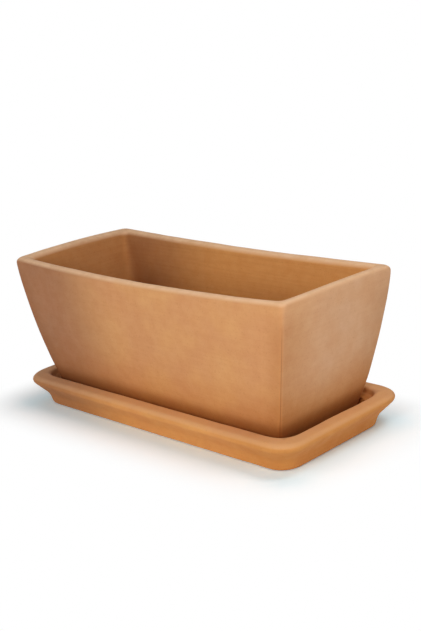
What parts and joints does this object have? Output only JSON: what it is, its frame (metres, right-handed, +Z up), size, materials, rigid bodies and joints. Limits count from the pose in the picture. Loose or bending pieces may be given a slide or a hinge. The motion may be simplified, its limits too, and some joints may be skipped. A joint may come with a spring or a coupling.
{
  "type": "herb planter",
  "caption": "Tapered terracotta trough with a thick rounded rim and drain holes, standing in a matching lipped saucer that it lifts off.",
  "frame": {"origin": "on the ground, under the middle of the saucer", "axes": "+Z up, +X along the long side, +Y towards the back"},
  "size_m": [0.3026, 0.1452, 0.1297],
  "materials": {
    "terracotta": "unglazed, matt"
  },
  "bodies": {
    "saucer": {"saucer": "terracotta"},
    "trough": {"planter_trough": "terracotta"}
  },
  "joints": [
    {"name": "trough_lift", "type": "slide", "parent": "saucer", "child": "trough", "axis": [0, 0, 1], "range_m": [0, 0.08]}
  ]
}
